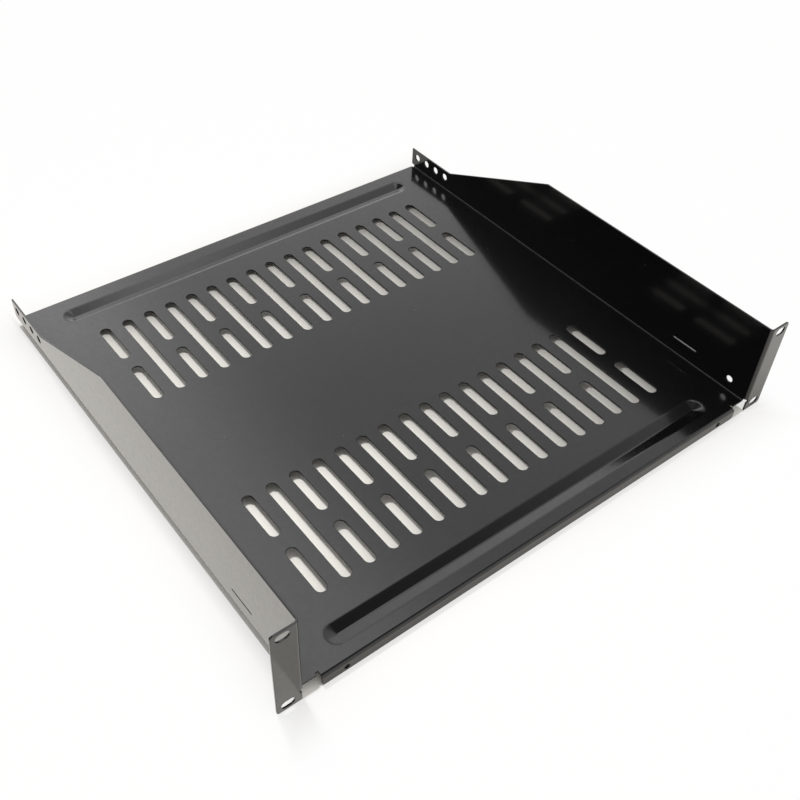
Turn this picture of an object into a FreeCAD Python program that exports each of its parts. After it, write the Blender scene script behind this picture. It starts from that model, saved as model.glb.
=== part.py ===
import FreeCAD, Part
import math
import os
import Sketcher

# A rack shelf folded from one steel sheet, held by two ears at its front.
# Millimetres. The origin is the middle of the base: X to the right, Y to the rear, Z up.
# The front face of the ears and of the front lip is at y = -tray_depth / 2, and the
# ears, the front lip and the rear lip all reach down to z = 0.

SIZES = {
    # the rack's own sizes: width over the ears, height of two rack units, and the place of
    # each fixing slot's middle, measured in from the ear's side and from its top or foot
    "panel_width": 482.6,
    "panel_height": 88.1,
    "ear_width": 19.3,
    "rack_slot_side_inset": 8.75,
    "rack_slot_end_inset": 5.95,
    "rack_slot_length": 10.5,
    "rack_slot_width": 7.0,
    "ear_corner_radius": 2.5,
    # the sheet and its folds
    "sheet_thickness": 1.5,
    "fold_radius": 1.5,
    # the tray
    "tray_depth": 450.0,
    "deck_height": 10.5,
    # the side walls
    "wall_level_length": 254.0,
    "wall_tail_length": 61.0,
    "wall_tail_height": 30.5,
    "wall_heel_length": 4.0,
    "wall_heel_height": 1.0,
    "tail_hole_count": 4,
    "tail_hole_pitch": 15.0,
    "tail_hole_diameter": 7.0,
    "tail_hole_setback": 8.8,
    "tail_hole_height": 22.8,
    "slit_length": 25.0,
    "slit_width": 1.2,
    "slit_setback": 58.5,
    "slit_height": 24.3,
    "wall_hole_diameter": 6.2,
    "wall_hole_setback": 21.2,
    "wall_hole_height": 21.2,
    # the front lip, set in from each wall's outer face, and the notch between it and the ear
    "front_lip_inset": 15.5,
    "front_lip_corner_radius": 3.0,
    "rear_lip_corner_radius": 4.0,
    "lip_hole_inset": 19.5,
    "lip_hole_diameter": 4.2,
    "lip_hole_height": 4.0,
    "notch_depth": 3.4,
    "relief_width": 2.0,
    "relief_depth": 2.0,
    # the vents: two bands of columns, by turns one long slot or two short ones in line
    "vent_columns": 17,
    "vent_pitch": 21.0,
    "vent_width": 9.0,
    "short_vent_length": 45.0,
    "short_vent_gap": 14.0,
    "front_vent_setback": 53.5,
    "rear_vent_setback": 58.5,
    # the pressed beads that stiffen the deck, set in from each wall's outer face
    "bead_end_inset": 32.0,
    "bead_width": 21.0,
    "bead_depth": 3.0,
    "bead_rim_radius": 4.0,
    "front_bead_setback": 21.5,
    "rear_bead_setback": 26.0,
}

DIRECTION = {"XY_Plane": "z", "XZ_Plane": "y", "YZ_Plane": "x"}


class Size:
    """A length in millimetres, and the sheet's expression that gives it."""

    def __init__(self, value, text):
        self.value = value
        self.text = text

    def joined(self, other, sign, value):
        text = other.text if isinstance(other, Size) else repr(other)
        return Size(value, "(" + self.text + sign + text + ")")

    def __add__(self, other):
        return self.joined(other, " + ", self.value + number(other))

    def __sub__(self, other):
        return self.joined(other, " - ", self.value - number(other))

    def __mul__(self, other):
        return self.joined(other, " * ", self.value * number(other))

    def __truediv__(self, other):
        return self.joined(other, " / ", self.value / number(other))

    def __neg__(self):
        return Size(-self.value, "(0 - " + self.text + ")")


def number(size):
    return size.value if isinstance(size, Size) else size


def fill_sheet(doc):
    """Writes the sizes to the sheet and returns them by name."""
    sheet = doc.addObject("Spreadsheet::Sheet", "sizes")
    found = {}
    for row, (name, value) in enumerate(SIZES.items(), start=1):
        sheet.set("A%d" % row, name)
        sheet.set("B%d" % row, repr(value))
        sheet.setAlias("B%d" % row, name)
        found[name] = Size(value, "sizes." + name)
    doc.recompute()
    return found


doc = FreeCAD.newDocument("rack_shelf")
size = fill_sheet(doc)
body = doc.addObject("PartDesign::Body", "shelf_tray")
body.Label = "shelf_tray"

ZERO = Size(0.0, "0")
half_panel = size["panel_width"] / 2
half_tray = half_panel - size["ear_width"]
half_front_lip = half_tray - size["front_lip_inset"]
front = -size["tray_depth"] / 2
rear = size["tray_depth"] / 2
sheet = size["sheet_thickness"]
inner_radius = size["fold_radius"]
outer_radius = inner_radius + sheet
wall_inner_face = half_tray - sheet
deck_edge = half_tray - outer_radius
deck_top = size["deck_height"]
deck_under = deck_top - sheet
wall_foot = deck_top + inner_radius
ear_root = half_tray + inner_radius


def origin_feature(role):
    return [item for item in body.Origin.OriginFeatures if item.Role == role][0]


def new_sketch(name, role, offset=ZERO):
    """A sketch on one of the body's own planes, moved out along that plane's normal."""
    sketch = body.newObject("Sketcher::SketchObject", name)
    sketch.AttachmentSupport = [(origin_feature(role), "")]
    sketch.MapMode = "FlatFace"
    sketch.setExpression("AttachmentOffset.Base.z", offset.text)
    doc.recompute()
    return sketch


def fix(sketch, kind, geometry, point, value):
    """Holds a point of the sketch at a distance from the sketch's origin."""
    index = sketch.addConstraint(Sketcher.Constraint(kind, -1, 1, geometry, point, value.value))
    sketch.setExpression("Constraints[%d]" % index, value.text)


def set_radius(sketch, geometry, radius):
    index = sketch.addConstraint(Sketcher.Constraint("Radius", geometry, radius.value))
    sketch.setExpression("Constraints[%d]" % index, radius.text)


def arc_between(start, end, radius, side):
    """A short arc from start to end. side is 1 where its centre lies to the left of the way."""
    chord = end - start
    middle = (start + end) * 0.5
    across = FreeCAD.Vector(-chord.y, chord.x, 0).normalize()
    reach = math.sqrt(max(radius**2 - (chord.Length / 2) ** 2, 0))
    centre = middle + across * (reach * side)
    bulge = middle - across * (side * (radius - reach))
    return Part.Arc(start, bulge, end), centre


def add_outline(sketch, corners):
    """A closed outline. Each corner is x, y and, where an arc leads on from it, radius and side."""
    points = [FreeCAD.Vector(corner[0].value, corner[1].value, 0) for corner in corners]
    first = sketch.GeometryCount
    for index, corner in enumerate(corners):
        start = points[index]
        end = points[(index + 1) % len(points)]
        if len(corner) == 2:
            geometry = sketch.addGeometry(Part.LineSegment(start, end), False)
            tail = 1
        else:
            arc, centre = arc_between(start, end, corner[2].value, corner[3])
            geometry = sketch.addGeometry(arc, False)
            # an arc is kept anticlockwise, so one with its centre on the right starts at its end
            tail = 1 if corner[3] > 0 else 2
        ends.setdefault(sketch.Name, {})[geometry] = (tail, 3 - tail)
    last = sketch.GeometryCount - 1
    for index, corner in enumerate(corners):
        geometry = first + index
        following = first if geometry == last else geometry + 1
        head = ends[sketch.Name][geometry][1]
        tail = ends[sketch.Name][following][0]
        sketch.addConstraint(Sketcher.Constraint("Coincident", geometry, head, following, tail))
    for index, corner in enumerate(corners):
        geometry = first + index
        tail = ends[sketch.Name][geometry][0]
        fix(sketch, "DistanceX", geometry, tail, corner[0])
        fix(sketch, "DistanceY", geometry, tail, corner[1])
        if len(corner) > 2:
            set_radius(sketch, geometry, corner[2])


ends = {}


def add_circle(sketch, x, y, radius):
    centre = FreeCAD.Vector(x.value, y.value, 0)
    geometry = sketch.addGeometry(Part.Circle(centre, FreeCAD.Vector(0, 0, 1), radius.value), False)
    fix(sketch, "DistanceX", geometry, 3, x)
    fix(sketch, "DistanceY", geometry, 3, y)
    set_radius(sketch, geometry, radius)


def add_rectangle(sketch, low, high):
    add_outline(sketch, [low, (high[0], low[1]), high, (low[0], high[1])])


def add_round_slot(sketch, x, y, half_x, half_y):
    """A slot with half-round ends. Its longer half size says which way it runs."""
    along_x = half_x.value > half_y.value
    radius = half_y if along_x else half_x
    reach = abs(half_x.value - half_y.value)
    ahead = FreeCAD.Vector(1, 0, 0) if along_x else FreeCAD.Vector(0, 1, 0)
    across = FreeCAD.Vector(-ahead.y, ahead.x, 0) * radius.value
    middle = FreeCAD.Vector(x.value, y.value, 0)
    far = middle + ahead * reach
    near = middle - ahead * reach
    tip = ahead * radius.value
    first = sketch.GeometryCount
    sketch.addGeometry(Part.LineSegment(near - across, far - across), False)
    sketch.addGeometry(Part.Arc(far - across, far + tip, far + across), False)
    sketch.addGeometry(Part.LineSegment(far + across, near + across), False)
    sketch.addGeometry(Part.Arc(near + across, near - tip, near - across), False)
    for index in range(4):
        following = first + (index + 1) % 4
        sketch.addConstraint(Sketcher.Constraint("Tangent", first + index, 2, following, 1))
    for geometry, sign in ((first + 1, 1), (first + 3, -1)):
        shift_x = (half_x - half_y) * sign if along_x else ZERO
        shift_y = ZERO if along_x else (half_y - half_x) * sign
        fix(sketch, "DistanceX", geometry, 3, x + shift_x)
        fix(sketch, "DistanceY", geometry, 3, y + shift_y)
        set_radius(sketch, geometry, radius)


def one_way(feature, sketch, length, backwards=False):
    feature.Profile = sketch
    feature.setExpression("Length", length.text)
    feature.Reversed = backwards
    doc.recompute()
    return feature


def pad(name, sketch, length, backwards=False):
    return one_way(body.newObject("PartDesign::Pad", name), sketch, length, backwards)


def pocket(name, sketch, length, backwards=False):
    """Cuts the sketch's outlines out, and stops the build if nothing was cut."""
    before = body.Shape.Volume
    feature = one_way(body.newObject("PartDesign::Pocket", name), sketch, length, backwards)
    if body.Shape.Volume >= before:
        raise RuntimeError(name + " cuts nothing")
    return feature


def make_deck():
    """The deck with its front and rear lips folded down, from one section."""
    fold_height = deck_top - outer_radius
    sketch = new_sketch("deck_section", "YZ_Plane", -deck_edge)
    add_outline(
        sketch,
        [
            (front, ZERO),
            (front, fold_height, outer_radius, -1),
            (front + outer_radius, deck_top),
            (rear - outer_radius, deck_top, outer_radius, -1),
            (rear, fold_height),
            (rear, ZERO),
            (rear - sheet, ZERO),
            (rear - sheet, fold_height, inner_radius, 1),
            (rear - outer_radius, deck_under),
            (front + outer_radius, deck_under, inner_radius, 1),
            (front + sheet, fold_height),
            (front + sheet, ZERO),
        ],
    )
    return pad("deck", sketch, deck_edge * 2)


def make_front_notch():
    """The gap between the front lip and the left ear, with a relief at the end of the fold."""
    lip_end = half_front_lip
    edge = front + size["notch_depth"]
    sketch = new_sketch("front_notch_outline", "XY_Plane")
    add_outline(
        sketch,
        [
            (-half_tray, front - sheet),
            (-lip_end, front - sheet),
            (-lip_end, edge + size["relief_depth"]),
            (-lip_end - size["relief_width"], edge + size["relief_depth"]),
            (-lip_end - size["relief_width"], edge),
            (-half_tray, edge),
        ],
    )
    return pocket("front_notch", sketch, deck_top, backwards=True)


def make_wall_fold():
    """The fold between the deck and the left wall."""
    start = front + size["notch_depth"]
    end = rear - size["wall_heel_length"]
    sketch = new_sketch("wall_fold_section", "XZ_Plane", -end)
    add_outline(
        sketch,
        [
            (-deck_edge, deck_under),
            (-deck_edge, deck_top, inner_radius, -1),
            (-wall_inner_face, wall_foot),
            (-half_tray, wall_foot, outer_radius, 1),
        ],
    )
    return pad("wall_fold", sketch, end - start)


def make_wall():
    """The flat of the left wall, with its slope, its heel and its holes."""
    tail_top = size["wall_tail_height"]
    sketch = new_sketch("wall_outline", "YZ_Plane", -half_tray)
    add_outline(
        sketch,
        [
            (front + outer_radius, wall_foot),
            (rear - size["wall_heel_length"], wall_foot),
            (rear, wall_foot + size["wall_heel_height"]),
            (rear, tail_top),
            (rear - size["wall_tail_length"], tail_top),
            (front + size["wall_level_length"], size["panel_height"]),
            (front + outer_radius, size["panel_height"]),
        ],
    )
    for index in range(SIZES["tail_hole_count"]):
        y = rear - size["tail_hole_setback"] - size["tail_hole_pitch"] * index
        add_circle(sketch, y, size["tail_hole_height"], size["tail_hole_diameter"] / 2)
    hole_y = front + size["wall_hole_setback"]
    add_circle(sketch, hole_y, size["wall_hole_height"], size["wall_hole_diameter"] / 2)
    slit_low = (front + size["slit_setback"], size["slit_height"] - size["slit_width"] / 2)
    slit_high = (slit_low[0] + size["slit_length"], slit_low[1] + size["slit_width"])
    add_rectangle(sketch, slit_low, slit_high)
    return pad("wall", sketch, sheet)


def make_ear_fold():
    """The fold between the left wall and its ear."""
    sketch = new_sketch("ear_fold_section", "XY_Plane", wall_foot)
    add_outline(
        sketch,
        [
            (-wall_inner_face, front + outer_radius),
            (-half_tray, front + outer_radius, inner_radius, 1),
            (-ear_root, front + sheet),
            (-ear_root, front, outer_radius, 1),
        ],
    )
    return pad("ear_fold", sketch, size["panel_height"] - wall_foot)


def make_ear():
    """The left ear, which reaches below the deck, with its two fixing slots."""
    radius = size["ear_corner_radius"]
    top = size["panel_height"]
    sketch = new_sketch("ear_outline", "XZ_Plane", -front)
    add_outline(
        sketch,
        [
            (-half_panel + radius, ZERO),
            (-half_tray, ZERO),
            (-half_tray, deck_under),
            (-ear_root, deck_under),
            (-ear_root, top),
            (-half_panel + radius, top, radius, 1),
            (-half_panel, top - radius),
            (-half_panel, radius, radius, 1),
        ],
    )
    column = -half_panel + size["rack_slot_side_inset"]
    inset = size["rack_slot_end_inset"]
    for row in (inset, top - inset):
        half_length = size["rack_slot_length"] / 2
        add_round_slot(sketch, column, row, half_length, size["rack_slot_width"] / 2)
    return pad("ear", sketch, sheet, backwards=True)


def mirror_left_side(features):
    """Repeats the features of the left side on the right."""
    mirrored = body.newObject("PartDesign::Mirrored", "right_side")
    mirrored.Originals = features
    mirrored.MirrorPlane = (origin_feature("YZ_Plane"), [""])
    body.Tip = mirrored
    doc.recompute()


def make_lip_holes():
    sketch = new_sketch("lip_hole_outline", "XZ_Plane", -front)
    hole_x = half_front_lip - size["lip_hole_inset"]
    for x in (-hole_x, hole_x):
        add_circle(sketch, x, size["lip_hole_height"], size["lip_hole_diameter"] / 2)
    pocket("lip_holes", sketch, sheet)


def vent_centres():
    """The middles of the front and rear vent bands along Y, and the length of a long vent."""
    length = size["short_vent_length"] * 2 + size["short_vent_gap"]
    front_middle = front + size["front_vent_setback"] + length / 2
    rear_middle = rear - size["rear_vent_setback"] - length / 2
    return (front_middle, rear_middle), length


def make_vents(name, first_column, count, lengths_and_shifts):
    """One column of vents in both bands, repeated at every second place."""
    middles, _ = vent_centres()
    x = size["vent_pitch"] * (first_column - (SIZES["vent_columns"] - 1) / 2)
    sketch = new_sketch(name + "_outline", "XY_Plane", deck_top)
    for middle in middles:
        for length, shift in lengths_and_shifts:
            add_round_slot(sketch, x, middle + shift, size["vent_width"] / 2, length / 2)
    cut = pocket(name + "_first_column", sketch, sheet)
    pattern = body.newObject("PartDesign::LinearPattern", name)
    pattern.Originals = [cut]
    pattern.Direction = (origin_feature("X_Axis"), [""])
    pattern.setExpression("Length", (size["vent_pitch"] * (2 * (count - 1))).text)
    pattern.Occurrences = count
    body.Tip = pattern
    doc.recompute()


def make_all_vents():
    columns = SIZES["vent_columns"]
    _, long_length = vent_centres()
    step = (size["short_vent_length"] + size["short_vent_gap"]) / 2
    short_pair = [(size["short_vent_length"], -step), (size["short_vent_length"], step)]
    make_vents("short_vents", 0, (columns + 1) // 2, short_pair)
    make_vents("long_vents", 1, columns // 2, [(long_length, ZERO)])


def bead_profile(level, rim, whole):
    """Half the section of a bead under a level of the sheet, from its middle outwards.

    rim is the radius of its edge blend at that level. Both faces of the sheet share the
    centres of their arcs. whole adds the other half.
    """
    half_width = size["bead_width"] / 2
    depth = size["bead_depth"]
    radii = (half_width * half_width + depth * depth) / (depth * 2)
    trough = radii - rim
    low = level - depth
    ratio = trough / radii
    join_x = half_width * ratio
    join_z = low + trough - (radii - depth) * ratio
    if whole:
        return [
            (half_width, level, rim, 1),
            (join_x, join_z, trough, -1),
            (-join_x, join_z, rim, 1),
            (-half_width, level),
        ]
    return [(ZERO, level), (half_width, level, rim, 1), (join_x, join_z, trough, -1), (ZERO, low)]


def bead_sketch(name, middle, end, level, rim, whole):
    """A sketch across a bead, with its own upright axis in the bead's middle."""
    sketch = new_sketch(name, "YZ_Plane", end)
    sketch.setExpression("AttachmentOffset.Base.x", middle.text)
    doc.recompute()
    add_outline(sketch, bead_profile(level, rim, whole))
    return sketch


def turn_half(kind, name, sketch, backwards):
    feature = body.newObject(kind, name)
    feature.Profile = sketch
    feature.ReferenceAxis = (sketch, ["V_Axis"])
    feature.Angle = 180
    feature.Reversed = backwards
    doc.recompute()
    return feature


def make_bead(name, middle):
    """A trough pressed down into the deck, with round ends."""
    end = half_tray - size["bead_end_inset"] - size["bead_width"] / 2
    rim = size["bead_rim_radius"]
    layers = [
        ("back", deck_under, rim - sheet, pad, "PartDesign::Revolution"),
        ("face", deck_top, rim, pocket, "PartDesign::Groove"),
    ]
    for layer, level, radius, straight, round_kind in layers:
        sketch = bead_sketch(name + "_" + layer + "_section", middle, -end, level, radius, True)
        straight(name + "_" + layer, sketch, end * 2, backwards=straight is pocket)
        for side, place in (("left", -end), ("right", end)):
            label = "_".join((name, layer, side))
            half = bead_sketch(label + "_section", middle, place, level, radius, False)
            turn_half(round_kind, label, half, side == "right")


def make_beads():
    make_bead("front_bead", front + size["front_bead_setback"])
    make_bead("rear_bead", rear - size["rear_bead_setback"])


def round_lip_corners(name, face_y, half_length, radius):
    """Rounds the two lower corners of a lip whose outer face is at face_y."""
    found = []
    for index, edge in enumerate(body.Shape.Edges, start=1):
        box = edge.BoundBox
        at_foot = box.ZMax < 0.01 and box.XLength < 0.01
        at_lip = abs(edge.CenterOfMass.y - face_y.value) < sheet.value
        at_end = abs(abs(edge.CenterOfMass.x) - half_length.value) < 0.01
        if at_foot and at_lip and at_end:
            found.append("Edge%d" % index)
    fillet = body.newObject("PartDesign::Fillet", name)
    fillet.Base = (body.Tip if fillet.BaseFeature is None else fillet.BaseFeature, found)
    fillet.setExpression("Radius", radius.text)
    doc.recompute()


def main():
    make_deck()
    mirrored = [make_front_notch(), make_wall_fold(), make_wall(), make_ear_fold(), make_ear()]
    mirror_left_side(mirrored)
    make_lip_holes()
    round_lip_corners("front_lip_corners", front, half_front_lip, size["front_lip_corner_radius"])
    round_lip_corners("rear_lip_corners", rear, deck_edge, size["rear_lip_corner_radius"])
    make_beads()
    make_all_vents()


def faults():
    """The document's objects that didn't build, by name."""
    broken = [item.Name for item in doc.Objects if {"Invalid", "Error"} & set(item.State)]
    if body.Shape.isNull() or not body.Shape.isValid() or len(body.Shape.Solids) != 1:
        broken.append(body.Name)
    return broken


main()
if faults():
    raise RuntimeError("not built: " + ", ".join(faults()))
os.makedirs("parts", exist_ok=True)
body.Shape.exportStep("parts/shelf_tray.step")
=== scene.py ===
import math

import bpy
import bmesh
from mathutils import Matrix, Vector


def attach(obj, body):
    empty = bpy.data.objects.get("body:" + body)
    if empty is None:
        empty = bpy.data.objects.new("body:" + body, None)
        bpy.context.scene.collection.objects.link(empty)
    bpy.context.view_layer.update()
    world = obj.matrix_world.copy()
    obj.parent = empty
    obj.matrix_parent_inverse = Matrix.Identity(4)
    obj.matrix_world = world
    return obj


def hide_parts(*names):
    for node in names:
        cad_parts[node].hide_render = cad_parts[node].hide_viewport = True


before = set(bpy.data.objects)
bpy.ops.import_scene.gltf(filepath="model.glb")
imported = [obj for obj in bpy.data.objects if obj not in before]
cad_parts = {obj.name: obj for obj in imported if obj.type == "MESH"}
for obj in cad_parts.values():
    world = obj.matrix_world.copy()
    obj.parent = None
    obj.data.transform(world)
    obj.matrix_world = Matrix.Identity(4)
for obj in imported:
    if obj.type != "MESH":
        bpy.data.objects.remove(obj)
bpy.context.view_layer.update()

# A vented rack shelf folded from one sheet of steel and powder coated black.
# Lengths below are millimetres in the part's own frame; MM turns them to metres.
MM = 0.001

# the folded sheet
SHEET = 1.5
TIGHT_BEND = 1.5
WIDE_BEND = TIGHT_BEND + SHEET
BEND_STEPS = 8
PANEL_HALF = 241.3
PANEL_TOP = 88.1
TRAY_HALF = 222.0
WALL_FACE = TRAY_HALF - SHEET
DECK_HALF = TRAY_HALF - WIDE_BEND
EAR_ROOT = TRAY_HALF + TIGHT_BEND
FRONT = -225.0
REAR = 225.0
DECK_TOP = 10.5
DECK_UNDER = DECK_TOP - SHEET
WALL_FOOT = DECK_TOP + TIGHT_BEND
EAR_CORNER = 2.5

# side walls
SLOPE_START = 29.0
TAIL_START = 164.0
TAIL_TOP = 30.5
HEEL_START = REAR - 4.0
HEEL_TOP = WALL_FOOT + 1.0

# front lip, its notches and the relief at each end of its fold
LIP_HALF = 206.5
NOTCH_EDGE = FRONT + 3.4
RELIEF = 2.0
FRONT_LIP_CORNER = 3.0
REAR_LIP_CORNER = 4.0

# pressed beads across the deck
BEAD_HALF_LENGTH = 190.0
BEAD_HALF_WIDTH = 10.5
BEAD_DEPTH = 3.0
BEAD_RIM = 8.0
BEAD_SLOPE = math.radians(19.2)
BEAD_MIDDLES = (FRONT + 21.5, REAR - 26.0)
BEAD_END_STEPS = 24
BEAD_ARC_STEPS = 5

# vents, and the punch that cuts them: its depth, steps round a quarter of its end, and how much
# of its width each corner radius takes
VENT_PITCH = 21.0
VENT_COLUMNS = 17
VENT_WIDTH = 9.0
SHORT_VENT = 45.0
LONG_VENT = 104.0
VENT_BANDS = (FRONT + 53.5 + LONG_VENT / 2, REAR - 58.5 - LONG_VENT / 2)
PUNCH_DEPTH = 6.0
PUNCH_STEPS = 7
PUNCH_ROUNDING = 0.4999

# round-ended holes in the folded panels: middle along and up the panel, length, width
TAIL_PITCH = 15.0
WALL_HOLES = tuple((REAR - 8.8 - TAIL_PITCH * i, 22.8, 7.0, 7.0) for i in range(4)) + (
    (FRONT + 21.2, 21.2, 6.2, 6.2),
    (FRONT + 71.0, 24.3, 25.0, 1.2),
)
SLOT_ROW = PANEL_HALF - 8.75
EAR_SLOTS = ((SLOT_ROW, 5.95, 10.5, 7.0), (SLOT_ROW, 82.15, 10.5, 7.0))
LIP_HOLE = LIP_HALF - 19.5
LIP_HOLES = ((-LIP_HOLE, 4.0, 4.2, 4.2), (LIP_HOLE, 4.0, 4.2, 4.2))
HOLE_STEPS = 14

# the coat rounds every cut edge of the sheet
COATED_EDGE = 0.3
# and lies thinner and duller this close to them
EDGE_COAT = 0.8

# points closer than this are one: along the folds, and after the vents are cut
WELD = 0.01
CUT_WELD = 0.02

# the coat's pattern scales, per metre: clouds 70 mm across, mottle 4 mm, orange peel 3 mm,
# grain 1 mm, and specks of dust 17 mm apart
CLOUDS = 14.0
MOTTLE = 260.0
PEEL = 330.0
GRAIN = 900.0
DUST_SPACING = 60.0
BUMP_HEIGHT = 0.02

# the coat's blacks, its worn edge and dust
DEEP_BLACK = "#030304"
SOFT_BLACK = "#080809"
WORN_EDGE = "#1f1f20"
DUST = "#a8a49c"

# the table: its own colour, a darker copy of it that the paint mirrors as painted shade, and the
# painted glow round the object, to the paint and to the eye
TABLE = "#edeae3"
TABLE_MIRRORED_SHADE = "#a8a59f"
TABLE_GLOW = "#fbf8f1"
WHITE = "#ffffff"

# Painted glow on the table round the object, over a distance in metres: start, end, first and
# last value, weaker next to the object as a painted shadow. The paint's left outer side mirrors
# the painted glow from under the deck's edge outwards.
GLOW_SEEN = (0.0, 0.04, 0.6, 0.97)
GLOW_MIRRORED = (0.0, 0.1, 0.3, 0.75)
GLOW_LEFT = (-DECK_HALF * MM, -TRAY_HALF * MM, 0.0, 0.8)

# Parts of the room as the paint mirrors them. Each is a start, an end, and the brightness at
# both: the dark patch in radians from its middle, the others as slopes from straight up.
PATCH_AIM = (0.3, -0.3, 1.0)
DARK_PATCH = (math.radians(5), math.radians(35), 0.08, 0.68)
SOFTBOX = (0.55, 0.3, 0.0, 0.9)
SOFTBOX_FRONT = (-0.1, 0.2, 0.0, 1.0)
REAR_GLOW = (0.8, 1.3, 0.0, 0.24)
RIGHT_SIDE = (0.15, 0.32, 0.05, 1.0)
STRIP_NEAR = (-0.4, -0.6, 0.0, 1.5)
STRIP_FAR = (-0.92, -0.8, 0.0, 1.0)
LOWEST_SKY = 0.05
ROOM_ON_MATT = 0.7

# lamps: name, place and size in metres, power in watts, seen only as a glint
LAMPS = (
    ("near_lamp", (-0.2, -0.05, 0.41), 0.06, 1.2, False),
    ("edge_glint", (-0.24, -0.08, 1.1), 0.15, 1.1, True),
    ("overhead_fill", (0.0, -0.5, 2.2), 2.0, 7.0, False),
)

# camera: where it is, what it looks at, its roll in degrees and its lens
EYE = (-385.3, -505.4, 585.8)
TARGET = (-11.7, -54.2, 10.5)
ROLL = 2.71
LENS = 45.0


# ---- the bare sheet ----


def face_loop(bm, points):
    """Edges around a closed outline of 3-D points."""
    verts = [bm.verts.new(Vector(point) * MM) for point in points]
    return [bm.edges.new((verts[i], verts[(i + 1) % len(verts)])) for i in range(len(verts))]


def flat_panel(bm, outline, holes=()):
    """A flat part of the sheet, as triangles between its outline and its holes."""
    edges = face_loop(bm, outline)
    for hole in holes:
        edges += face_loop(bm, hole)
    bmesh.ops.triangle_fill(bm, use_beauty=True, use_dissolve=False, edges=edges)


def fold(bm, rows):
    """Long faces between rows of points, each row one step further round a bend."""
    loops = [[bm.verts.new(Vector(point) * MM) for point in row] for row in rows]
    for near, far in zip(loops, loops[1:]):
        for i in range(len(near) - 1):
            bm.faces.new((near[i], near[i + 1], far[i + 1], far[i]))


def bend(centre, radius, start, end):
    """Points round part of a circle in a plane, from one angle to another, in degrees."""
    angles = [math.radians(start + (end - start) * i / BEND_STEPS) for i in range(BEND_STEPS + 1)]
    return [(centre[0] + radius * math.cos(a), centre[1] + radius * math.sin(a)) for a in angles]


def stadium(centre, reach, radius, steps):
    """A closed outline in a plane with half-round ends, their centres reach from the middle."""
    points = []
    for side, start in ((1, -90), (-1, 90)):
        for i in range(steps + 1 if reach else steps):
            a = math.radians(start + 180 * i / steps)
            across = side * reach + radius * math.cos(a)
            points.append((centre[0] + across, centre[1] + radius * math.sin(a)))
    return points


def bead_loop(middle_y, radius, level):
    """One step down a bead: its outline at a level."""
    flat = stadium((0, middle_y), BEAD_HALF_LENGTH - BEAD_HALF_WIDTH, radius, BEAD_END_STEPS)
    return [(x, y, level) for x, y in flat]


def openings(holes):
    """The outlines of round-ended holes in a panel's own plane."""
    return [
        stadium((along, up), (length - width) / 2, width / 2, HOLE_STEPS)
        for along, up, length, width in holes
    ]


def bead_section():
    """Distance from the bead's middle and level, from its rim down to its middle."""
    slope = BEAD_SLOPE
    turns = [slope * i / BEAD_ARC_STEPS for i in range(BEAD_ARC_STEPS + 1)]
    rim = [
        (BEAD_HALF_WIDTH - BEAD_RIM * math.sin(a), DECK_TOP - BEAD_RIM * (1 - math.cos(a)))
        for a in turns
    ]
    bottom = DECK_TOP - BEAD_DEPTH
    run = (rim[-1][0] - (rim[-1][1] - bottom) / math.tan(slope)) / math.tan(slope / 2)
    trough = [(run * math.sin(a), bottom + run * (1 - math.cos(a))) for a in reversed(turns[1:])]
    return rim + trough, bottom


def press_bead(bm, middle_y):
    """A pressed trough across the deck, long along X."""
    section, bottom = bead_section()
    loops = [bead_loop(middle_y, radius, level) for radius, level in section]
    rows = [[bm.verts.new(Vector(point) * MM) for point in loop] for loop in loops]
    count = len(rows[0])
    for outer, inner in zip(rows, rows[1:]):
        for i in range(count):
            j = (i + 1) % count
            bm.faces.new((outer[i], outer[j], inner[j], inner[i]))
    reach = BEAD_HALF_LENGTH - BEAD_HALF_WIDTH
    right = bm.verts.new(Vector((reach, middle_y, bottom)) * MM)
    left = bm.verts.new(Vector((-reach, middle_y, bottom)) * MM)
    last = rows[-1]
    half = count // 2
    for i in range(half - 1):
        bm.faces.new((last[i], last[i + 1], right))
        bm.faces.new((last[half + i], last[half + i + 1], left))
    bm.faces.new((last[half - 1], last[half], left, right))
    bm.faces.new((last[count - 1], last[0], right, left))


def deck_panel(bm):
    """The deck with its notches at the front and its two beads."""
    left_front = [
        (-LIP_HALF, FRONT + WIDE_BEND),
        (-LIP_HALF, NOTCH_EDGE + RELIEF),
        (-LIP_HALF - RELIEF, NOTCH_EDGE + RELIEF),
        (-LIP_HALF - RELIEF, NOTCH_EDGE),
        (-DECK_HALF, NOTCH_EDGE),
    ]
    left = left_front + [(-DECK_HALF, HEEL_START), (-DECK_HALF, REAR - WIDE_BEND)]
    right = [(-x, y) for x, y in reversed(left)]
    outline = [(x, y, DECK_TOP) for x, y in left + right]
    holes = [bead_loop(middle, BEAD_HALF_WIDTH, DECK_TOP) for middle in BEAD_MIDDLES]
    flat_panel(bm, outline, holes)
    for middle in BEAD_MIDDLES:
        press_bead(bm, middle)


def lip_panel(bm, y, half, corner, towards, holes):
    """A lip folded down from the deck, with rounded lower corners. towards is +1 at the rear."""
    fold_centre = (y - towards * WIDE_BEND, DECK_TOP - WIDE_BEND)
    angles = (90, 0) if towards > 0 else (90, 180)
    path = bend(fold_centre, WIDE_BEND, *angles)
    fold(bm, [[(-half, py, pz), (half, py, pz)] for py, pz in path])
    low_left = bend((-half + corner, corner), corner, 180, 270)
    low_right = bend((half - corner, corner), corner, 270, 360)
    top = DECK_TOP - WIDE_BEND
    outline = [(-half, top)] + low_left + low_right + [(half, top)]
    flat_panel(
        bm,
        [(x, y, z) for x, z in outline],
        [[(x, y, z) for x, z in hole] for hole in openings(holes)],
    )


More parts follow.
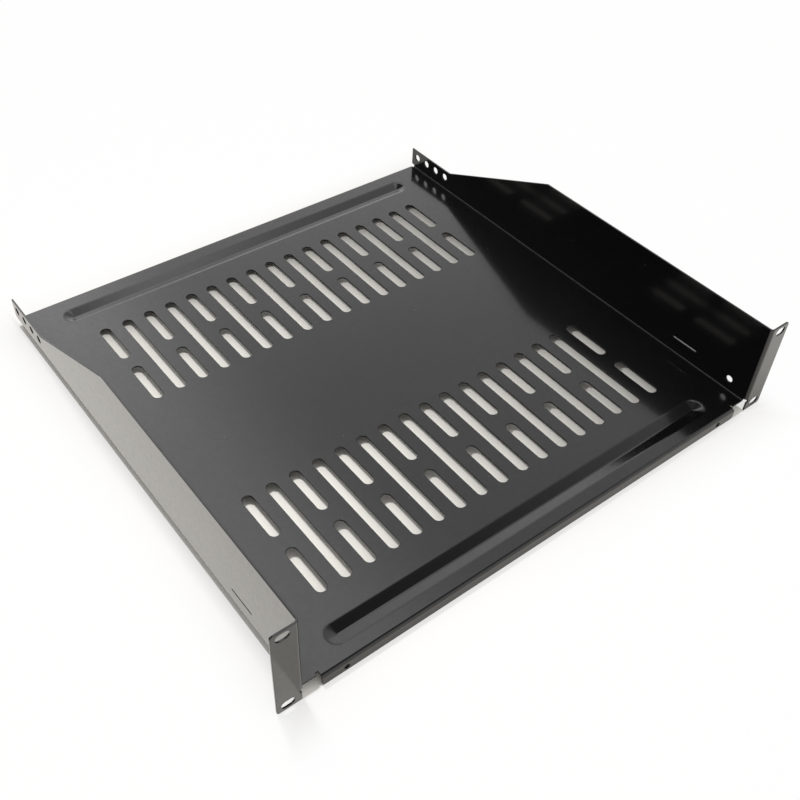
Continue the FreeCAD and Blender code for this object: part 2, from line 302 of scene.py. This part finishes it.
def side_panels(bm, side):
    """One wall, its ear, and the folds that join them to the deck. side is -1 or +1."""
    fold_path = bend((DECK_HALF, WALL_FOOT), TIGHT_BEND, 270, 360)
    fold(bm, [[(side * x, NOTCH_EDGE, z), (side * x, HEEL_START, z)] for x, z in fold_path])
    wall = [
        (FRONT + WIDE_BEND, WALL_FOOT),
        (NOTCH_EDGE, WALL_FOOT),
        (HEEL_START, WALL_FOOT),
        (REAR, HEEL_TOP),
        (REAR, TAIL_TOP),
        (TAIL_START, TAIL_TOP),
        (SLOPE_START, PANEL_TOP),
        (FRONT + WIDE_BEND, PANEL_TOP),
    ]
    flat_panel(
        bm,
        [(side * WALL_FACE, y, z) for y, z in wall],
        [[(side * WALL_FACE, y, z) for y, z in hole] for hole in openings(WALL_HOLES)],
    )
    ear_path = bend((EAR_ROOT, FRONT + WIDE_BEND), WIDE_BEND, 180, 270)
    fold(bm, [[(side * x, y, WALL_FOOT), (side * x, y, PANEL_TOP)] for x, y in ear_path])
    top_corner = bend((PANEL_HALF - EAR_CORNER, PANEL_TOP - EAR_CORNER), EAR_CORNER, 0, 90)
    low_corner = bend((PANEL_HALF - EAR_CORNER, EAR_CORNER), EAR_CORNER, 270, 360)
    ear = [
        (EAR_ROOT, PANEL_TOP),
        (EAR_ROOT, WALL_FOOT),
        (EAR_ROOT, DECK_UNDER),
        (TRAY_HALF, DECK_UNDER),
        (TRAY_HALF, 0.0),
    ]
    flat_panel(
        bm,
        [(side * x, FRONT, z) for x, z in ear + low_corner + top_corner],
        [[(side * x, FRONT, z) for x, z in hole] for hole in openings(EAR_SLOTS)],
    )


def bare_sheet(material):
    """The seen side of the folded sheet, as one open surface with no thickness yet."""
    bm = bmesh.new()
    deck_panel(bm)
    lip_panel(bm, FRONT, LIP_HALF, FRONT_LIP_CORNER, -1, LIP_HOLES)
    lip_panel(bm, REAR, DECK_HALF, REAR_LIP_CORNER, 1, ())
    for side in (-1, 1):
        side_panels(bm, side)
    bmesh.ops.remove_doubles(bm, verts=bm.verts, dist=WELD * MM)
    bmesh.ops.recalc_face_normals(bm, faces=bm.faces)
    deck = [face for face in bm.faces if abs(face.calc_center_median().z - DECK_TOP * MM) < 1e-6]
    if sum(face.normal.z for face in deck) < 0:
        bmesh.ops.reverse_faces(bm, faces=bm.faces)
    mesh = bpy.data.meshes.new("shelf_sheet")
    mesh.materials.append(material)
    bm.to_mesh(mesh)
    bm.free()
    return mesh


# ---- the vents, cut by geometry nodes ----


def add_node(tree, kind, settings=None, inputs=None):
    """Adds a node, sets its properties, and fills or links its inputs."""
    node = tree.nodes.new(kind)
    for name, value in (settings or {}).items():
        setattr(node, name, value)
    for name, value in (inputs or {}).items():
        for item in value if isinstance(value, list) else [value]:
            if isinstance(item, bpy.types.NodeSocket):
                tree.links.new(item, node.inputs[name])
            else:
                node.inputs[name].default_value = item
    return node


def maths(tree, operation, first, second):
    """One sum on two numbers."""
    return add_node(tree, "ShaderNodeMath", {"operation": operation}, {0: first, 1: second}).outputs[0]


def punch(tree, width, length, depth):
    """A punch with half-round ends that runs along Y and goes depth through Z."""
    outline = add_node(
        tree, "GeometryNodeCurvePrimitiveQuadrilateral", inputs={"Width": width, "Height": length}
    )
    rounding = maths(tree, "MULTIPLY", width, PUNCH_ROUNDING)
    rounded = add_node(
        tree,
        "GeometryNodeFilletCurve",
        {"mode": "POLY"},
        {"Curve": outline.outputs[0], "Count": PUNCH_STEPS, "Radius": rounding, "Limit Radius": True},
    )
    base = add_node(tree, "GeometryNodeFillCurve", {"mode": "NGONS"}, {"Curve": rounded.outputs[0]})
    body = add_node(
        tree,
        "GeometryNodeExtrudeMesh",
        {"mode": "FACES"},
        {"Mesh": base.outputs[0], "Offset Scale": depth, "Individual": False},
    )
    under = add_node(tree, "GeometryNodeFlipFaces", inputs={"Mesh": base.outputs[0]})
    joined = add_node(
        tree, "GeometryNodeJoinGeometry", inputs={"Geometry": [body.outputs[0], under.outputs[0]]}
    )
    welded = add_node(
        tree,
        "GeometryNodeMergeByDistance",
        inputs={"Geometry": joined.outputs[0], "Distance": WELD * MM},
    )
    centred = add_node(
        tree,
        "GeometryNodeTransform",
        inputs={"Geometry": welded.outputs[0], "Translation": (0, 0, -depth / 2)},
    )
    return centred.outputs[0]


def row_of(tree, tool, count, start, step):
    """Copies of a punch in a straight row."""
    line = add_node(
        tree,
        "GeometryNodeMeshLine",
        {"mode": "OFFSET"},
        {"Count": count, "Start Location": Vector(start) * MM, "Offset": step},
    )
    copies = add_node(
        tree,
        "GeometryNodeInstanceOnPoints",
        inputs={"Points": line.outputs[0], "Instance": tool},
    )
    return copies.outputs[0]


def perforate_tree(material):
    """Cuts two bands of vents, long columns and pairs of short ones by turns."""
    tree = bpy.data.node_groups.new("perforate_deck", "GeometryNodeTree")
    sockets = (
        ("Sheet", "NodeSocketGeometry"),
        ("Column Pitch", "NodeSocketFloat"),
        ("Short Columns", "NodeSocketInt"),
        ("Vent Width", "NodeSocketFloat"),
        ("Short Vent", "NodeSocketFloat"),
        ("Long Vent", "NodeSocketFloat"),
    )
    for name, kind in sockets:
        tree.interface.new_socket(name, in_out="INPUT", socket_type=kind)
    tree.interface.new_socket("Sheet", in_out="OUTPUT", socket_type="NodeSocketGeometry")
    given = add_node(tree, "NodeGroupInput").outputs

    short = punch(tree, given["Vent Width"], given["Short Vent"], PUNCH_DEPTH * MM)
    long = punch(tree, given["Vent Width"], given["Long Vent"], PUNCH_DEPTH * MM)
    pair = maths(tree, "MULTIPLY", given["Column Pitch"], 2.0)
    step = add_node(tree, "ShaderNodeCombineXYZ", inputs={"X": pair}).outputs[0]
    fewer = maths(tree, "SUBTRACT", given["Short Columns"], 1.0)
    edge = VENT_PITCH * (VENT_COLUMNS - 1) / 2
    half_gap = (LONG_VENT - SHORT_VENT) / 2
    level = DECK_TOP - SHEET / 2
    rows = []
    for middle in VENT_BANDS:
        for shift in (-half_gap, half_gap):
            rows.append(row_of(tree, short, given["Short Columns"], (-edge, middle + shift, level), step))
        rows.append(row_of(tree, long, fewer, (VENT_PITCH - edge, middle, level), step))

    joined = add_node(tree, "GeometryNodeJoinGeometry", inputs={"Geometry": rows})
    tools = add_node(tree, "GeometryNodeRealizeInstances", inputs={"Geometry": joined.outputs[0]})
    cut = add_node(
        tree,
        "GeometryNodeMeshBoolean",
        {"operation": "DIFFERENCE", "solver": "EXACT"},
        {0: given["Sheet"], 1: tools.outputs[0]},
    )
    clean = add_node(
        tree,
        "GeometryNodeMergeByDistance",
        inputs={"Geometry": cut.outputs[0], "Distance": CUT_WELD * MM},
    )
    real = add_node(tree, "GeometryNodeRealizeInstances", inputs={"Geometry": clean.outputs[0]})
    coated = add_node(
        tree, "GeometryNodeSetMaterial", inputs={"Geometry": real.outputs[0], "Material": material}
    )
    add_node(tree, "NodeGroupOutput", inputs={"Sheet": coated.outputs[0]})
    return tree


def apply_modifiers(piece):
    """Turns the evaluated piece into a plain mesh and drops its modifiers."""
    graph = bpy.context.evaluated_depsgraph_get()
    result = bpy.data.meshes.new_from_object(piece.evaluated_get(graph))
    piece.modifiers.clear()
    piece.data = result


def make_sheet(material):
    """The whole shelf: the folded sheet at its full thickness, cut, with rounded edges."""
    piece = bpy.data.objects.new("folded_sheet", bare_sheet(material))
    bpy.context.scene.collection.objects.link(piece)
    thicken = piece.modifiers.new("thickness", "SOLIDIFY")
    thicken.thickness = SHEET * MM
    thicken.offset = -1.0
    thicken.use_even_offset = True
    cut = piece.modifiers.new("vents", "NODES")
    tree = perforate_tree(material)
    cut.node_group = tree
    sizes = {
        "Column Pitch": VENT_PITCH * MM,
        "Short Columns": (VENT_COLUMNS + 1) // 2,
        "Vent Width": VENT_WIDTH * MM,
        "Short Vent": SHORT_VENT * MM,
        "Long Vent": LONG_VENT * MM,
    }
    for socket in tree.interface.items_tree:
        if socket.name in sizes:
            cut[socket.identifier] = sizes[socket.name]
    merge = piece.modifiers.new("merged_flats", "DECIMATE")
    merge.decimate_type = "DISSOLVE"
    merge.angle_limit = math.radians(0.5)
    soften = piece.modifiers.new("coated_edges", "BEVEL")
    soften.width = COATED_EDGE * MM
    soften.segments = 2
    soften.limit_method = "ANGLE"
    soften.angle_limit = math.radians(45)
    soften.use_clamp_overlap = False
    apply_modifiers(piece)
    for polygon in piece.data.polygons:
        polygon.use_smooth = True
    even = piece.modifiers.new("even_shading", "WEIGHTED_NORMAL")
    even.keep_sharp = True
    apply_modifiers(piece)
    return piece


# ---- colours and materials ----


def linear(hex_colour):
    """An sRGB hex colour as linear RGBA."""
    parts = [int(hex_colour[i:i + 2], 16) / 255 for i in (1, 3, 5)]
    return tuple(p / 12.92 if p <= 0.04045 else ((p + 0.055) / 1.055) ** 2.4 for p in parts) + (1.0,)


def new_material(name):
    material = bpy.data.materials.new(name)
    material.use_nodes = True
    material.node_tree.nodes.clear()
    return material, material.node_tree


def ramp(tree, value, start, end, low, high, smooth=True):
    """A number that runs from low to high while value runs from start to end."""
    node = add_node(
        tree,
        "ShaderNodeMapRange",
        {"interpolation_type": "SMOOTHSTEP" if smooth else "LINEAR"},
        {"Value": value, "From Min": start, "From Max": end, "To Min": low, "To Max": high},
    )
    return node.outputs[0]


def blend(tree, factor, first, second):
    """A number between two others."""
    inputs = {"Factor": factor, "A": first, "B": second}
    return add_node(tree, "ShaderNodeMix", {"data_type": "FLOAT"}, inputs).outputs[0]


def tone(tree, factor, first, second):
    """A colour between two others."""
    inputs = {"Factor": factor, 6: first, 7: second}
    return add_node(tree, "ShaderNodeMix", {"data_type": "RGBA"}, inputs).outputs[2]


def noise(tree, place, scale, detail):
    inputs = {"Vector": place, "Scale": scale, "Detail": detail}
    return add_node(tree, "ShaderNodeTexNoise", inputs=inputs).outputs["Fac"]


def bump(tree, height, strength, below=None):
    """Small waves on the surface, laid over others where below is given."""
    inputs = {"Height": height, "Strength": strength, "Distance": BUMP_HEIGHT * MM}
    if below is not None:
        inputs["Normal"] = below
    return add_node(tree, "ShaderNodeBump", inputs=inputs).outputs[0]


def powder_coat():
    """Black powder coat: a deep semi-gloss skin with a fine orange-peel grain and a little dust."""
    material, tree = new_material("black_powder_coat")
    place = add_node(tree, "ShaderNodeTexCoord").outputs["Object"]
    clouds = noise(tree, place, CLOUDS, 4.0)
    grain = noise(tree, place, GRAIN, 3.0)
    peel = noise(tree, place, PEEL, 1.0)
    mottle = noise(tree, place, MOTTLE, 2.0)
    dust_inputs = {"Vector": place, "Scale": DUST_SPACING}
    specks = add_node(tree, "ShaderNodeTexVoronoi", inputs=dust_inputs).outputs["Distance"]

    # how far the sheet turns within reach of a point tells where its edges are
    rounded = add_node(tree, "ShaderNodeBevel", {"samples": 4}, {"Radius": EDGE_COAT * MM})
    flat = add_node(tree, "ShaderNodeNewGeometry").outputs["Normal"]
    turned = add_node(
        tree, "ShaderNodeVectorMath", {"operation": "DOT_PRODUCT"}, {0: rounded.outputs[0], 1: flat}
    )
    edge = ramp(tree, turned.outputs["Value"], 0.995, 0.9, 0.0, 1.0, smooth=False)

    black = tone(tree, clouds, linear(DEEP_BLACK), linear(SOFT_BLACK))
    worn = tone(tree, maths(tree, "MULTIPLY", edge, mottle), black, linear(WORN_EDGE))
    dust = ramp(tree, specks, 0.022, 0.012, 0.0, 0.5, smooth=False)
    colour = tone(tree, dust, worn, linear(DUST))
    rough = ramp(tree, clouds, 0.0, 1.0, 0.16, 0.21, smooth=False)
    skin = ramp(tree, grain, 0.0, 1.0, 0.08, 0.12, smooth=False)
    film = ramp(tree, mottle, 0.35, 0.65, 0.88, 1.0, smooth=False)
    waves = bump(tree, peel, 0.25)
    paint = add_node(
        tree,
        "ShaderNodeBsdfPrincipled",
        inputs={
            "Base Color": colour,
            "Roughness": blend(tree, edge, rough, 0.4),
            "IOR": 1.5,
            "Normal": bump(tree, grain, 0.6, waves),
            "Coat Weight": blend(tree, edge, film, 0.25),
            "Coat Roughness": skin,
            "Coat IOR": 1.5,
            "Coat Normal": waves,
        },
    )
    add_node(tree, "ShaderNodeOutputMaterial", inputs={"Surface": paint.outputs[0]})
    return material


def studio_floor():
    """Warm white table: a painted glow all round the object, weaker next to it as a painted shadow, and
    left in its own shade beneath it.
    """
    material, tree = new_material("white_table")
    ray = add_node(tree, "ShaderNodeLightPath").outputs
    # painted shade: where the paint mirrors the table, the table takes a darker copy of its colour
    white = tone(tree, ray["Is Glossy Ray"], linear(TABLE), linear(TABLE_MIRRORED_SHADE))
    matt = add_node(tree, "ShaderNodeBsdfDiffuse", inputs={"Color": white})
    # painted light: the table glows though it is no lamp, white to the eye and warm to the paint
    tint = tone(tree, ray["Is Camera Ray"], linear(TABLE_GLOW), linear(WHITE))
    bright = add_node(tree, "ShaderNodeEmission", inputs={"Color": tint, "Strength": 1.0})

    # distance outside the rectangle that the tray covers
    place = add_node(tree, "ShaderNodeTexCoord").outputs["Object"]
    spread = add_node(tree, "ShaderNodeVectorMath", {"operation": "ABSOLUTE"}, {0: place})
    beyond = add_node(
        tree,
        "ShaderNodeVectorMath",
        {"operation": "SUBTRACT"},
        {0: spread.outputs[0], 1: (TRAY_HALF * MM, REAR * MM, 0)},
    )
    apart = add_node(tree, "ShaderNodeSeparateXYZ", inputs={0: beyond.outputs[0]}).outputs
    distance = maths(tree, "MAXIMUM", apart[0], apart[1])
    outside = maths(tree, "GREATER_THAN", distance, 0.0)

    sideways = add_node(tree, "ShaderNodeSeparateXYZ", inputs={0: place}).outputs[0]
    # painted glow and shade: the glow dims close to the object as a painted shadow, for the eye and for
    # the paint apart, and a painted glow lies under the left wall's foot for the paint to mirror
    on_left = ramp(tree, sideways, *GLOW_LEFT, smooth=False)
    seen = maths(tree, "MULTIPLY", ramp(tree, distance, *GLOW_SEEN), outside)
    mirrored = maths(tree, "MULTIPLY", ramp(tree, distance, *GLOW_MIRRORED), outside)
    mirrored = maths(tree, "MAXIMUM", mirrored, on_left)
    for_eye = maths(tree, "MULTIPLY", seen, ray["Is Camera Ray"])
    for_mirror = maths(tree, "MULTIPLY", mirrored, ray["Is Glossy Ray"])
    share = maths(tree, "MAXIMUM", for_eye, for_mirror)
    mixed = add_node(
        tree,
        "ShaderNodeMixShader",
        inputs={0: share, 1: matt.outputs[0], 2: bright.outputs[0]},
    )
    add_node(tree, "ShaderNodeOutputMaterial", inputs={"Surface": mixed.outputs[0]})
    bpy.ops.mesh.primitive_plane_add(size=10.0, location=(0, 0, 0))
    floor = bpy.context.object
    floor.name = "studio_floor"
    floor.data.materials.append(material)


# ---- light and camera ----


def studio_world():
    """A white room to the eye. For the object it is a pale room, brighter over its left side,
    with a dark patch overhead, towards the front."""
    world = bpy.data.worlds.new("white_studio")
    world.use_nodes = True
    tree = world.node_tree
    tree.nodes.clear()
    aim = add_node(tree, "ShaderNodeTexCoord").outputs["Generated"]
    nearness = add_node(
        tree,
        "ShaderNodeVectorMath",
        {"operation": "DOT_PRODUCT"},
        {0: aim, 1: Vector(PATCH_AIM).normalized()},
    )
    angle = add_node(
        tree, "ShaderNodeMath", {"operation": "ARCCOSINE"}, {0: nearness.outputs["Value"]}
    )
    parts = add_node(tree, "ShaderNodeSeparateXYZ", inputs={0: aim}).outputs
    height = maths(tree, "MAXIMUM", parts[2], LOWEST_SKY)
    across = maths(tree, "DIVIDE", parts[0], height)
    along = maths(tree, "DIVIDE", parts[1], height)

    softbox = maths(
        tree, "MULTIPLY", ramp(tree, across, *SOFTBOX), ramp(tree, along, *SOFTBOX_FRONT)
    )
    room = maths(tree, "ADD", ramp(tree, angle.outputs[0], *DARK_PATCH), softbox)
    room = maths(tree, "ADD", room, ramp(tree, along, *REAR_GLOW))
    strip = maths(tree, "MULTIPLY", ramp(tree, across, *STRIP_NEAR), ramp(tree, across, *STRIP_FAR))
    total = maths(tree, "ADD", maths(tree, "MULTIPLY", room, ramp(tree, across, *RIGHT_SIDE)), strip)

    ray = add_node(tree, "ShaderNodeLightPath").outputs
    for_matt = blend(tree, ray["Is Diffuse Ray"], total, ROOM_ON_MATT)
    strength = blend(tree, ray["Is Camera Ray"], for_matt, 1.0)
    sky = add_node(
        tree, "ShaderNodeBackground", inputs={"Color": linear(WHITE), "Strength": strength}
    )
    add_node(tree, "ShaderNodeOutputWorld", inputs={"Surface": sky.outputs[0]})
    bpy.context.scene.world = world


def area_lamp(name, place, size, power, mirrored_only):
    """A round lamp aimed at the shelf's middle. It lights matt surfaces, or only glints on paint."""
    lamp = bpy.data.lights.new(name, "AREA")
    lamp.shape = "DISK"
    lamp.size = size
    lamp.energy = power
    holder = bpy.data.objects.new(name, lamp)
    holder.location = place
    holder.rotation_euler = (-Vector(place)).to_track_quat("-Z", "Y").to_euler()
    holder.visible_glossy = mirrored_only
    holder.visible_diffuse = not mirrored_only
    bpy.context.scene.collection.objects.link(holder)


def camera_at(eye, target, roll, lens):
    """A camera in the photograph's place. roll is how far its right side is lifted, in degrees."""
    forward = (Vector(target) - Vector(eye)).normalized()
    level = forward.cross(Vector((0, 0, 1))).normalized()
    rise = level.cross(forward)
    right = level * math.cos(math.radians(roll)) + rise * math.sin(math.radians(roll))
    above = right.cross(forward)
    pose = Matrix((right, above, -forward)).transposed().to_4x4()
    pose.translation = Vector(eye) * MM
    data = bpy.data.cameras.new("camera")
    data.lens = lens
    data.sensor_width = 36.0
    data.clip_start = 0.01
    holder = bpy.data.objects.new("camera", data)
    holder.matrix_world = pose
    bpy.context.scene.collection.objects.link(holder)
    bpy.context.scene.camera = holder


bpy.context.scene.view_settings.view_transform = "Standard"
coat = powder_coat()
sheet = make_sheet(coat)
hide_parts("shelf_tray")
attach(sheet, "root")

studio_floor()
studio_world()
for lamp in LAMPS:
    area_lamp(*lamp)
camera_at(EYE, TARGET, ROLL, LENS)
